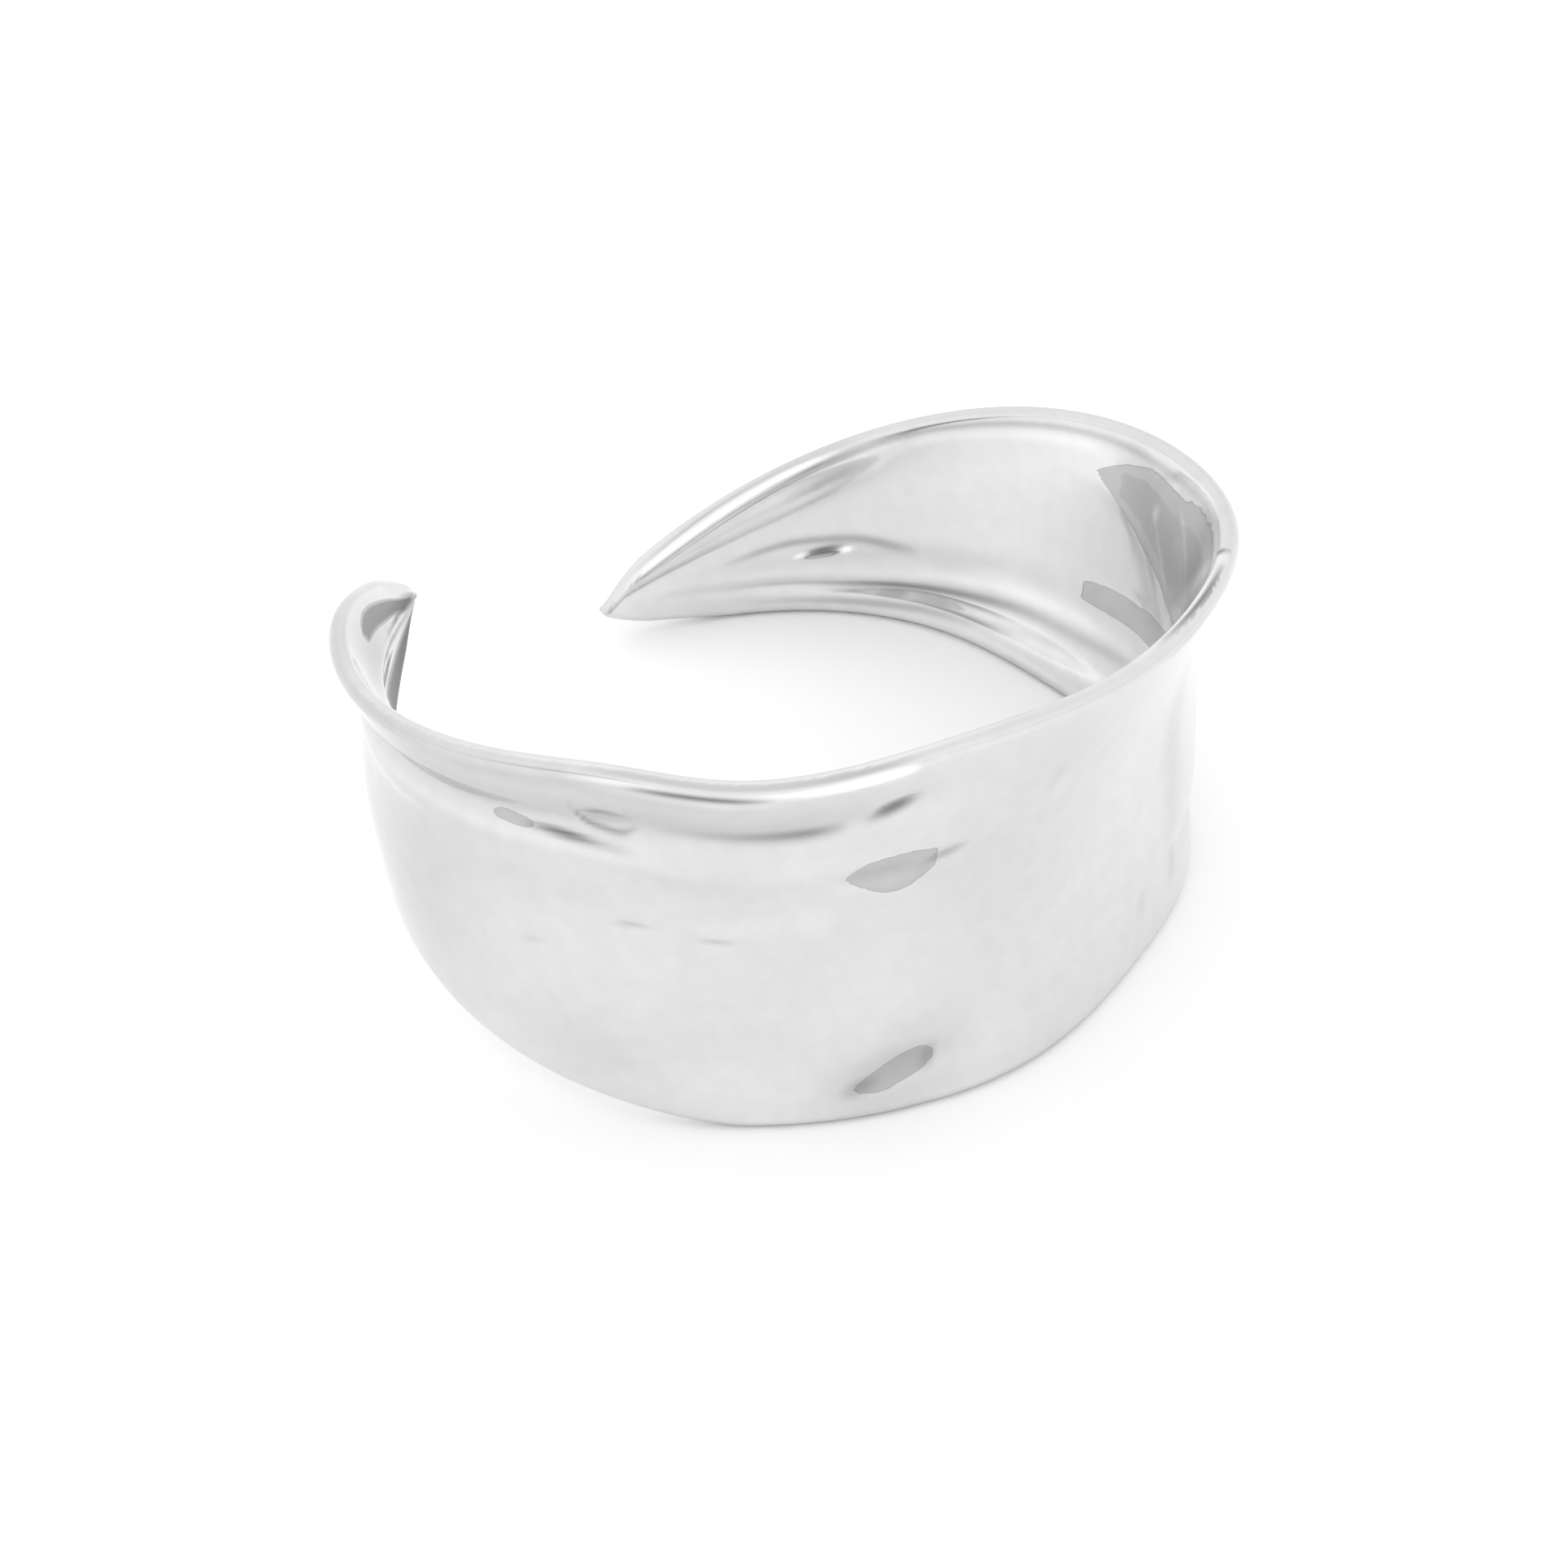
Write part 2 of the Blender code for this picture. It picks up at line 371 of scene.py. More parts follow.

# The same painted highlights and shades on the inner face.
INNER_LINES = (
    ("name", "s", "v", "change", "width"),
    (
        "line under the rim",
        (0.22, 0.30, 0.38, 0.48, 0.58, 0.67, 0.77, 0.84),
        (0.945, 0.95, 0.94, 0.945, 0.945, 0.945, 0.955, 0.96),
        (0.00, -0.12, -0.25, -0.30, -0.30, -0.28, -0.12, 0.00),
        0.014,
    ),
    (
        "light crease at the tip",
        (0.76, 0.80, 0.84, 0.89, 0.94, 0.975),
        (0.94, 0.94, 0.925, 0.897, 0.85, 0.80),
        (0.00, 0.20, 0.25, 0.25, 0.20, 0.00),
        0.012,
    ),
    (
        "shade under that crease",
        (0.64, 0.70, 0.76, 0.80, 0.84, 0.89, 0.95, 0.985),
        (0.94, 0.935, 0.925, 0.915, 0.90, 0.87, 0.81, 0.76),
        (0.00, -0.15, -0.30, -0.40, -0.50, -0.62, -0.50, 0.00),
        0.011,
    ),
    (
        "light under that shade",
        (0.72, 0.76, 0.80, 0.84, 0.87, 0.90, 0.93, 0.96),
        (0.86, 0.83, 0.77, 0.72, 0.71, 0.70, 0.72, 0.72),
        (0.00, 0.15, 0.24, 0.25, 0.25, 0.22, 0.15, 0.00),
        0.038,
    ),
    (
        "light wave",
        (0.44, 0.50, 0.60, 0.71, 0.78),
        (0.89, 0.90, 0.90, 0.90, 0.89),
        (0.00, 0.10, 0.10, 0.10, 0.00),
        0.020,
    ),
    (
        "shade above the hem",
        (0.36, 0.41, 0.48, 0.56, 0.61, 0.68, 0.73, 0.78, 0.83, 0.89),
        (0.24, 0.23, 0.205, 0.20, 0.19, 0.18, 0.18, 0.19, 0.24, 0.31),
        (0.00, -0.20, -0.25, -0.35, -0.50, -0.65, -0.65, -0.40, -0.20, 0.00),
        0.024,
    ),
    (
        "light ridge above the hem",
        (0.36, 0.45, 0.55, 0.65, 0.75, 0.86, 0.92),
        (0.29, 0.265, 0.255, 0.245, 0.25, 0.34, 0.42),
        (0.00, 0.05, 0.08, 0.12, 0.12, 0.05, 0.00),
        0.020,
    ),
    (
        "shade on the hem",
        (0.44, 0.50, 0.56, 0.63, 0.68, 0.73, 0.80, 0.86),
        (0.14, 0.135, 0.115, 0.09, 0.09, 0.09, 0.10, 0.12),
        (0.00, -0.10, -0.15, -0.25, -0.30, -0.30, -0.20, 0.00),
        0.018,
    ),
    (
        "shade at the right tip",
        (0.69, 0.72, 0.75, 0.79, 0.82, 0.855, 0.89),
        (0.35, 0.39, 0.44, 0.485, 0.515, 0.525, 0.52),
        (0.00, -0.35, -0.42, -0.40, -0.40, -0.30, 0.00),
        0.028,
    ),
    (
        "light strip inside the right rim",
        (0.00, 0.06, 0.12, 0.18, 0.24, 0.30, 0.34),
        (0.99, 0.985, 0.98, 0.97, 0.96, 0.97, 0.98),
        (0.00, 0.20, 0.30, 0.30, 0.25, 0.20, 0.00),
        0.012,
    ),
    (
        "shade beside that strip",
        (0.03, 0.06, 0.09, 0.12, 0.15, 0.17),
        (0.997, 0.997, 0.9975, 0.998, 0.9985, 0.999),
        (0.00, -0.50, -0.75, -0.70, -0.40, 0.00),
        0.003,
    ),
    (
        "face of the rim at the tip",
        (0.74, 0.80, 0.84, 0.89, 0.94, 0.975),
        (0.985, 0.975, 0.965, 0.95, 0.92, 0.89),
        (0.00, -0.20, -0.28, -0.28, -0.20, 0.00),
        0.025,
    ),
    (
        "soft shade of the rim",
        (0.12, 0.30, 0.50, 0.70, 0.86),
        (0.99, 0.99, 0.99, 0.99, 0.985),
        (0.00, -0.07, -0.08, -0.07, 0.00),
        0.022,
    ),
    # A soft painted shade above the hem.
    (
        "soft painted shade above the hem",
        (0.40, 0.50, 0.60, 0.70, 0.80, 0.88),
        (0.34, 0.33, 0.33, 0.34, 0.37, 0.42),
        (0.00, -0.10, -0.14, -0.14, -0.10, 0.00),
        0.060,
    ),
    (
        "light middle of the back",
        (0.28, 0.36, 0.48, 0.58, 0.70),
        (0.70, 0.70, 0.70, 0.70, 0.70),
        (0.00, 0.10, 0.10, 0.08, 0.00),
        0.200,
    ),
)

# Painted reflections: darker patches with a sharp uneven outline, painted where the polish would
# reflect dark surroundings. Their columns are the places along the band that each one passes,
# its lower and upper edge there, and how dark its middle is, from about 1 for pale to 4.
OUTER_PATCHES = (
    ("name", "s", "low", "high", "dark"),
    (
        "front dent",
        (-0.243, -0.225, -0.203, -0.18, -0.165),
        (0.66, 0.62, 0.593, 0.605, 0.635),
        (0.68, 0.70, 0.702, 0.695, 0.685),
        0.9,
    ),
    (
        "low dent",
        (-0.238, -0.219, -0.201, -0.184, -0.175, -0.170),
        (0.075, 0.063, 0.075, 0.092, 0.106, 0.122),
        (0.09, 0.12, 0.145, 0.156, 0.152, 0.138),
        0.95,
    ),
    (
        "left blob in the hollow",
        (-0.548, -0.537, -0.525, -0.512, -0.505),
        (0.765, 0.758, 0.755, 0.755, 0.76),
        (0.785, 0.80, 0.795, 0.785, 0.775),
        0.9,
    ),
)
INNER_PATCHES = (
    ("name", "s", "low", "high", "dark"),
    (
        "side",
        (0.08, 0.15, 0.22, 0.28, 0.32, 0.36, 0.40, 0.44, 0.475, 0.495),
        (0.80, 0.68, 0.62, 0.585, 0.56, 0.60, 0.65, 0.71, 0.775, 0.815),
        (0.93, 0.945, 0.94, 0.94, 0.93, 0.905, 0.915, 0.90, 0.86, 0.83),
        1.6,
    ),
    (
        "low side",
        (0.32, 0.36, 0.42, 0.47, 0.497),
        (0.38, 0.36, 0.345, 0.33, 0.33),
        (0.49, 0.475, 0.44, 0.42, 0.40),
        0.9,
    ),
    (
        "left tip, above",
        (-0.993, -0.97, -0.947, -0.92, -0.897, -0.87, -0.85),
        (0.45, 0.56, 0.66, 0.72, 0.765, 0.80, 0.82),
        (0.55, 0.69, 0.80, 0.87, 0.90, 0.895, 0.87),
        4.0,
    ),
    (
        "left tip, below",
        (-0.992, -0.97, -0.945, -0.92, -0.90, -0.89),
        (0.15, 0.00, -0.05, -0.05, -0.05, -0.05),
        (0.44, 0.34, 0.33, 0.32, 0.31, 0.28),
        3.0,
    ),
)


class CuffSizes(PropertyGroup):
    """Sizes of the band"""

    oval_length: FloatProperty(
        name="Oval length",
        description="Long axis of the oval that the middle of the wall follows",
        default=0.060,
        min=0.04,
        max=0.08,
        subtype="DISTANCE",
        unit="LENGTH",
    )
    oval_width: FloatProperty(
        name="Oval width",
        description="Short axis of that oval, through the opening",
        default=0.052,
        min=0.035,
        max=0.07,
        subtype="DISTANCE",
        unit="LENGTH",
    )
    band_height: FloatProperty(
        name="Band height",
        description="Height of the rim at the front of the band",
        default=0.030,
        min=0.01,
        max=0.05,
        subtype="DISTANCE",
        unit="LENGTH",
    )
    wall: FloatProperty(
        name="Wall",
        description="Thickness of the silver",
        default=0.0014,
        min=0.0008,
        max=0.003,
        subtype="DISTANCE",
        unit="LENGTH",
    )
    gap_angle: FloatProperty(
        name="Opening",
        description="Angle that the opening between the tips takes out of the oval",
        default=math.radians(42),
        min=math.radians(20),
        max=math.radians(90),
        subtype="ANGLE",
        unit="ROTATION",
    )
    reach: FloatProperty(
        name="Rolled rim",
        description="How far the rolled rim stands out of the oval",
        default=0.003,
        min=0.0,
        max=0.006,
        subtype="DISTANCE",
        unit="LENGTH",
    )
    fold: FloatProperty(
        name="Fold height",
        description="How high the long soft folds rise",
        default=0.0006,
        min=0.0,
        max=0.0015,
        subtype="DISTANCE",
        unit="LENGTH",
    )
    dent: FloatProperty(
        name="Dent depth",
        description="How deep the deepest hammer mark is",
        default=0.00025,
        min=0.0,
        max=0.0006,
        subtype="DISTANCE",
        unit="LENGTH",
    )
    tip_start: FloatProperty(
        name="Tip start",
        description="Share of each arm from which its end is rounded",
        default=0.95,
        min=0.8,
        max=0.99,
        subtype="FACTOR",
    )


class SilverLook(PropertyGroup):
    """Colour and polish of the silver"""

    colour: FloatVectorProperty(
        name="Silver",
        description="Colour of the polished silver",
        default=(0.785, 0.785, 0.79),
        size=3,
        min=0.0,
        max=1.0,
        subtype="COLOR",
    )
    roughness: FloatProperty(
        name="Roughness",
        description="Roughness of the polish at its brightest",
        default=0.07,
        min=0.0,
        max=0.5,
        subtype="FACTOR",
    )
    worn: FloatProperty(
        name="Worn edges",
        description="Roughness that is added at the rounded edges",
        default=0.25,
        min=0.0,
        max=0.6,
        subtype="FACTOR",
    )
    dull: FloatProperty(
        name="Dull edges",
        description="Share of the silver's brightness that is lost at the rounded edges",
        default=0.15,
        min=0.0,
        max=1.0,
        subtype="FACTOR",
    )
    haze: FloatProperty(
        name="Haze",
        description="Roughness that is added in the darker patches and the hazy places",
        default=0.22,
        min=0.0,
        max=0.6,
        subtype="FACTOR",
    )
    waviness: FloatProperty(
        name="Hand polish",
        description="Height of the soft waves that polishing by hand leaves",
        default=0.00004,
        min=0.0,
        max=0.0005,
        precision=6,
        subtype="DISTANCE",
        unit="LENGTH",
    )


class StudioLook(PropertyGroup):
    """Floor, tent, soft box and camera"""

    floor: FloatVectorProperty(
        name="Floor",
        description="Colour of the plain floor",
        default=(0.98, 0.98, 0.98),
        size=3,
        min=0.0,
        max=1.0,
        subtype="COLOR",
    )
    sky: FloatProperty(
        name="Tent",
        description="Brightness of the white tent round the bracelet",
        default=1.25,
        min=0.0,
        max=5.0,
    )
    seam_light: FloatProperty(
        name="Tent seam",
        description="Brightness of the grey seam where the tent meets the floor, as a share",
        default=0.4,
        min=0.0,
        max=1.0,
        subtype="FACTOR",
    )
    seam: FloatProperty(
        name="Seam azimuth",
        description="Direction in which the seam is darkest",
        default=math.radians(-95),
        subtype="ANGLE",
        unit="ROTATION",
    )
    key: FloatProperty(
        name="Soft box",
        description="Power of the soft box behind the bracelet, in watts",
        default=0.5,
        min=0.0,
        max=100.0,
    )
    key_azimuth: FloatProperty(
        name="Soft box azimuth",
        description="Direction of the soft box round the bracelet",
        default=math.radians(150),
        subtype="ANGLE",
        unit="ROTATION",
    )
    key_elevation: FloatProperty(
        name="Soft box elevation",
        description="Height of the soft box above the horizon",
        default=math.radians(55),
        subtype="ANGLE",
        unit="ROTATION",
    )
    aim: FloatVectorProperty(
        name="Camera aim",
        description="Point that the camera looks at",
        default=(0.00016, 0.00138, 0.00584),
        size=3,
        subtype="TRANSLATION",
        unit="LENGTH",
    )
    azimuth: FloatProperty(
        name="Camera azimuth",
        description="Direction of the camera round the bracelet",
        default=math.radians(-51.45),
        subtype="ANGLE",
        unit="ROTATION",
    )
    elevation: FloatProperty(
        name="Camera elevation",
        description="Height of the camera above the horizon",
        default=math.radians(37.75),
        subtype="ANGLE",
        unit="ROTATION",
    )
    distance: FloatProperty(
        name="Camera distance",
        description="From the camera to the point that it looks at",
        default=0.350,
        subtype="DISTANCE",
        unit="LENGTH",
    )
    lens: FloatProperty(
        name="Lens",
        description="Focal length in millimetres, on a sensor 36 mm wide",
        default=115.24,
        min=20.0,
        max=300.0,
    )


def column(name):
    """One named column of SECTIONS."""
    place = SECTIONS[0].index(name)
    return np.array([row[place] for row in SECTIONS[1:]])


def natural_spline(knots, values, at):
    """The smooth curve through (knots, values) with no bend at its ends, read at an array.

    The bends at the knots solve the usual three-term equations. Between two knots the curve is
    the straight share of both values plus (share cubed less share) of both bends. values holds
    one curve a column, and so does the result.
    """
    knots = np.asarray(knots, float)
    values = np.asarray(values, float).reshape(len(knots), -1)
    at = np.asarray(at, float)
    gaps = np.diff(knots)
    slopes = np.diff(values, axis=0) / gaps[:, None]
    inner = np.arange(1, len(knots) - 1)
    system = np.eye(len(knots))
    system[inner, inner - 1] = gaps[:-1]
    system[inner, inner] = 2 * (gaps[:-1] + gaps[1:])
    system[inner, inner + 1] = gaps[1:]
    bends = np.zeros(values.shape)
    bends[inner] = 6 * np.diff(slopes, axis=0)
    bends = np.linalg.solve(system, bends)
    cell = np.clip(np.searchsorted(knots, at) - 1, 0, len(gaps) - 1)
    gap = gaps[cell][:, None]
    left = (knots[cell + 1] - at)[:, None] / gap
    right = 1 - left
    curve = left * values[cell] + right * values[cell + 1]
    curve = curve + (left**3 - left) * bends[cell] * gap**2 / 6
    return curve + (right**3 - right) * bends[cell + 1] * gap**2 / 6


def curves_along(s, places, *columns):
    """Smooth curves through the given places, read at s and held beyond the last ones."""
    inside = np.clip(s, places[0], places[-1]).ravel()
    curves = natural_spline(places, np.stack(columns, axis=1), inside)
    return [curve.reshape(np.shape(s)) for curve in curves.T]


def bell_rows(s, v, rows):
    """The sum of some long bells: each is a bell curve across v, about a level that bends with
    s. Level and strength are smooth curves through the places of the row."""
    total = np.zeros(np.broadcast(s, v).shape)
    for _, places, levels, strengths, width in rows[1:]:
        level, strength = curves_along(s, places, levels, strengths)
        total = total + strength * np.exp(-(((v - level) / width) ** 2))
    return total


def oval_rows(s, v, rows, name):
    """The sum of some slanted ovals, weighed by one column: each is a flattened bell, the
    exponential of minus the 1.5th power of the squared distance from its middle."""
    weight = rows[0].index(name)
    total = np.zeros(np.broadcast(s, v).shape)
    for row in rows[1:]:
        place, level, along, up, slant = row[:5]
        across = (s - place) / along
        rise = (v - level) / up - slant * across
        total = total + row[weight] * np.exp(-((across**2 + rise**2) ** 1.5))
    return total


def patch_rows(s, v, rows):
    """0 at the edge of a patch, down to -1 outside it, and its dark value along its middle line.
    It falls with the square of the distance from that line, and with the sixth power towards
    both ends, whichever is less."""
    field = np.full(np.broadcast(s, v).shape, -1.0)
    for _, places, lows, highs, dark in rows[1:]:
        low, high = curves_along(s, places, lows, highs)
        half = np.maximum((high - low) / 2, LEAST_PATCH)
        here = 1 - ((v - (low + high) / 2) / half) ** 2
        reach = np.abs(2 * (s - places[0]) / (places[-1] - places[0]) - 1)
        here = np.minimum(here, 1 - reach**6)
        field = np.maximum(field, here * np.where(here > 0, dark, 1))
    return field


def wall_middle(s, v, sizes):
    """The middle of the wall at (s, v), as an array with x, y, z last.

    The point of the ellipse at the angle of s is moved out along the ellipse's normal, by the
    reach of the section there and the folds. It is lifted by the share v of the band's height.
    """
    s, v = np.broadcast_arrays(s, v)
    columns = np.stack([column(name) for name in SECTIONS[0][1:]], axis=1)
    table = natural_spline(column("s"), columns, s.ravel())
    basis = natural_spline(LEVELS, np.eye(len(LEVELS)), v.ravel())
    foot = np.maximum(table[:, 0], 0).reshape(s.shape)
    rim = table[:, 1].reshape(s.shape)
    out = sizes.reach * (table[:, 2:] * basis).sum(axis=1).reshape(s.shape)
    out = out + sizes.fold * bell_rows(s, v, FOLDS)
    turn = -math.pi / 2 + s * (math.pi - sizes.gap_angle / 2)
    along = np.cos(turn) / sizes.oval_length
    across = np.sin(turn) / sizes.oval_width
    size = np.hypot(along, across)
    x = sizes.oval_length / 2 * np.cos(turn) + along / size * out
    y = sizes.oval_width / 2 * np.sin(turn) + across / size * out
    return np.stack([x, y, sizes.band_height * (foot + (rim - foot) * v)], axis=-1)


def unit(vectors):
    """Vectors over their lengths."""
    lengths = np.linalg.norm(vectors, axis=-1, keepdims=True)
    return vectors / np.maximum(lengths, LEAST_LENGTH)


def band_columns(tip_start, columns, tip_columns):
    """s of each column of the grid, and the share of the band's height that is left there.

    Columns are even along the arms. Round each tip they follow a quarter turn, s by its sine and
    the height by its cosine, so the band ends in a round outline.
    """
    turn = np.linspace(0, math.pi / 2, tip_columns + 1)[1:]
    arm = np.linspace(0, tip_start, columns // 2)
    half = np.concatenate([arm, tip_start + (1 - tip_start) * np.sin(turn)])
    left = np.concatenate([np.ones(len(arm)), np.cos(turn)])
    s = np.concatenate([-half[:0:-1], half])[None, :]
    return s, np.concatenate([left[:0:-1], left])[None, :]


def band_rows(s, left, sizes, edge_rows, face_rows):
    """v of each point of the grid. Rows are close together at both edges, over little more than
    half the wall, where their depth is one less the cosine of a quarter turn. Between the edges
    they are even."""
    middle = wall_middle(s, np.full((1, 1), 0.5), sizes)
    slope_up = (wall_middle(s, np.full((1, 1), 0.5 + STEP), sizes) - middle) / STEP
    half_height = np.linalg.norm(slope_up, axis=-1) * 0.5 * left
    zone = np.minimum(sizes.wall / 2 * EDGE_ZONE, 0.5 * half_height)
    close = zone * (1 - np.cos(np.linspace(0, math.pi / 2, edge_rows + 1)))[:, None]
    even = zone + (half_height - zone) * np.linspace(0, 1, face_rows // 2)[1:, None]
    share = np.concatenate([close, even]) / np.maximum(half_height, LEAST_HEIGHT)
    share = np.concatenate([share - 1, 1 - share[-2::-1]])
    return 0.5 + 0.5 * left * share


def band_grids(sizes, columns=420, tip_columns=24, edge_rows=9, face_rows=88):
    """The outer and the inner face of the band, as two grids of points with one shared rim,
    and for each face its grids of tone (painted shades and highlights), patch (painted
    reflections), edge and haze.

    The wall's half thickness follows a quarter circle from nothing at the outline, over a
    distance of itself, so every edge is fully rounded. That distance, the depth, is measured
    square to the outline, which slants at the tips. Both faces lie that half thickness off the
    middle of the wall, along its normal, less the dents.
    """
    s, left = band_columns(sizes.tip_start, columns, tip_columns)
    v = band_rows(s, left, sizes, edge_rows, face_rows)
    point = wall_middle(s, v, sizes)
    along = (wall_middle(s + STEP, v, sizes) - point) / STEP
    up = (wall_middle(s, v + STEP, sizes) - point) / STEP
    normal = unit(np.cross(along, up))

    half_wall = sizes.wall / 2
    depth_v = (0.5 * left - np.abs(v - 0.5)) * np.linalg.norm(up, axis=-1)
    slant = np.gradient(0.5 * left[0]) / np.gradient(s[0])
    edge = along + np.sign(v - 0.5)[..., None] * slant[None, :, None] * up
    sine = np.linalg.norm(np.cross(unit(edge), unit(up)), axis=-1)
    depth = np.clip(depth_v * sine / half_wall, 0, 1)
    thick = half_wall * np.sqrt(1 - (1 - depth) ** 2)

    # The outer face has no hazy places, so it gets the head of their table alone.
    no_haze = HAZY_PLACES[:1]
    faces = []
    for side, dents, lines, patches, hazes in (
        (1, OUTER_DENTS, OUTER_LINES, OUTER_PATCHES, no_haze),
        (-1, INNER_DENTS, INNER_LINES, INNER_PATCHES, HAZY_PLACES),
    ):
        out = thick - sizes.dent * oval_rows(s, v, dents, "depth") * depth
        # tone holds the painted shades and highlights of the lines and the dents, and patch the
        # painted reflection patches.
        looks = {
            "tone": 1 + bell_rows(s, v, lines) - oval_rows(s, v, dents, "dark"),
            "patch": patch_rows(s, v, patches),
            "edge": 1 - depth,
            "haze": oval_rows(s, v, hazes, "haze"),
        }
        faces.append((point + side * normal * out[..., None], looks))
    return faces


def closed_mesh(name, faces):
    """One closed mesh of both faces: their grids, joined along the outline. The grids of looks
    become attributes of its vertices."""
    (outer, outer_looks), (inner, inner_looks) = faces
    rows, columns = outer.shape[:2]
    points = np.concatenate([outer.reshape(-1, 3), inner.reshape(-1, 3)])
    low = points.min(axis=0)
    middle = (low + points.max(axis=0)) / 2
    points = points - np.array([middle[0], middle[1], low[2]])
    row = np.arange(rows - 1)[:, None] * columns
    corner = (row + np.arange(columns - 1)[None, :]).ravel()
    quads = np.stack([corner, corner + 1, corner + columns + 1, corner + columns], axis=1)
    quads = np.concatenate([quads, quads[:, ::-1] + rows * columns])
    mesh = bpy.data.meshes.new(name)
    mesh.vertices.add(len(points))
    mesh.vertices.foreach_set("co", points.ravel())
    mesh.loops.add(quads.size)
    mesh.loops.foreach_set("vertex_index", quads.ravel())
    mesh.polygons.add(len(quads))
    mesh.polygons.foreach_set("loop_start", np.arange(len(quads)) * 4)
    mesh.polygons.foreach_set("loop_total", np.full(len(quads), 4))
    mesh.update(calc_edges=True)
    for look in outer_looks:
        values = np.concatenate([outer_looks[look].ravel(), inner_looks[look].ravel()])
        mesh.attributes.new(look, "FLOAT", "POINT").data.foreach_set("value", values)
    work = bmesh.new()
    work.from_mesh(mesh)
    bmesh.ops.remove_doubles(work, verts=work.verts, dist=MERGE_DISTANCE)
    bmesh.ops.dissolve_degenerate(work, edges=work.edges, dist=SLIVER)
    bmesh.ops.recalc_face_normals(work, faces=work.faces)
    work.to_mesh(mesh)
    work.free()
    mesh.shade_smooth()
    return mesh


def add_node(tree, kind, **values):
    """A node with some of its attributes set."""
    node = tree.nodes.new(kind)
    for name, value in values.items():
        setattr(node, name, value)
    return node


def add_ramp(tree, source, stops, interpolation="LINEAR"):
    """A ramp of greys at the given positions, fed by source."""
    ramp = add_node(tree, "ShaderNodeValToRGB")
    ramp.color_ramp.interpolation = interpolation
    while len(ramp.color_ramp.elements) < len(stops):
        ramp.color_ramp.elements.new(1.0)
    for element, (position, value) in zip(ramp.color_ramp.elements, stops):
        element.position = position
        element.color = (value, value, value, 1)
    tree.links.new(source, ramp.inputs["Fac"])
    return ramp.outputs["Color"]


def add_math(tree, operation, *values):
    """A math node of sockets and numbers."""
    node = add_node(tree, "ShaderNodeMath", operation=operation)
    for socket, value in zip(node.inputs, values):
        if isinstance(value, (int, float)):
            socket.default_value = value
        else:
            tree.links.new(value, socket)
    return node.outputs["Value"]


def add_noise(tree, scale, detail):
    """Noise on the object's own coordinates, scale to the metre."""
    place = add_node(tree, "ShaderNodeTexCoord")
    noise = add_node(tree, "ShaderNodeTexNoise")
    noise.inputs["Scale"].default_value = scale
    noise.inputs["Detail"].default_value = detail
    tree.links.new(place.outputs["Object"], noise.inputs["Vector"])
    return noise.outputs["Fac"]


def read_attribute(tree, name):
    """One of the mesh's own grids of looks."""
    return add_node(tree, "ShaderNodeAttribute", attribute_name=name).outputs["Fac"]


def silver_material(look):
    """Polished silver. Its colour is multiplied by the tone of the mesh, which holds the painted
    shades and highlights, by soft clouds and by the painted reflection patches, whose outline
    the noise makes uneven. It is duller at the worn edges and has the waves left by the hand."""
    material = bpy.data.materials.new("polished_silver")
    material.use_nodes = True
    tree = material.node_tree
    shader = tree.nodes["Principled BSDF"]
    shader.inputs["Metallic"].default_value = 1.0

    noise = add_noise(tree, *OUTLINE_NOISE)
    uneven = add_math(tree, "MULTIPLY_ADD", noise, UNEVENNESS, -UNEVENNESS / 2)
    field = add_math(tree, "MULTIPLY_ADD", read_attribute(tree, "patch"), PATCH_SHARE, uneven)
    clouds = add_noise(tree, *CLOUD_NOISE)
    edge = read_attribute(tree, "edge")

    # tone: the painted shades, highlights and reflection patches, times the random clouds and
    # grain and the duller edges.
    tone = add_math(
        tree, "MULTIPLY", read_attribute(tree, "tone"), add_ramp(tree, field, PATCH_SHADES)
    )
    tone = add_math(tree, "MULTIPLY", tone, add_ramp(tree, clouds, CLOUD_SHADES))
    grain = add_ramp(tree, add_noise(tree, *GRAIN_NOISE), GRAIN_SHADES)
    tone = add_math(tree, "MULTIPLY", tone, grain)
    dull = add_math(tree, "MULTIPLY_ADD", edge, -look.dull, 1.0)
    tone = add_math(tree, "MULTIPLY", tone, dull)
    colour = add_node(tree, "ShaderNodeVectorMath", operation="SCALE")
    colour.inputs[0].default_value = look.colour
    tree.links.new(tone, colour.inputs["Scale"])
    tree.links.new(colour.outputs["Vector"], shader.inputs["Base Color"])

    haze = add_ramp(tree, field, PATCH_HAZE)
    haze = add_math(tree, "MAXIMUM", haze, read_attribute(tree, "haze"))
    rough = add_math(tree, "MULTIPLY_ADD", clouds, CLOUD_ROUGHNESS, look.roughness)
    rough = add_math(tree, "MULTIPLY_ADD", edge, look.worn, rough)
    rough = add_math(tree, "MULTIPLY_ADD", haze, look.haze, rough)
    tree.links.new(rough, shader.inputs["Roughness"])

    bump = add_node(tree, "ShaderNodeBump")
    bump.inputs["Strength"].default_value = 1.0
    bump.inputs["Distance"].default_value = look.waviness
    tree.links.new(add_noise(tree, *WAVE_NOISE), bump.inputs["Height"])
    tree.links.new(bump.outputs["Normal"], shader.inputs["Normal"])
    return material


class CUFF_OT_band(Operator):
    """Make the finely worked band of the cuff in polished silver"""

    bl_idname = "cuff.band"
    bl_label = "Make the band"

    def execute(self, context):
        scene = context.scene
        mesh = closed_mesh("cuff_band_silver", band_grids(scene.cuff_sizes))
        mesh.materials.append(silver_material(scene.cuff_silver))
        band = bpy.data.objects.new("cuff_band_silver", mesh)
        scene.collection.objects.link(band)
        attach(band, "root")
        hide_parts("cuff_band")
        return {"FINISHED"}


def direction(azimuth, elevation):
    """The unit vector at an azimuth, counted anticlockwise from the front, and an elevation."""
    level = math.cos(elevation)
    return Vector((math.sin(azimuth) * level, -math.cos(azimuth) * level, math.sin(elevation)))


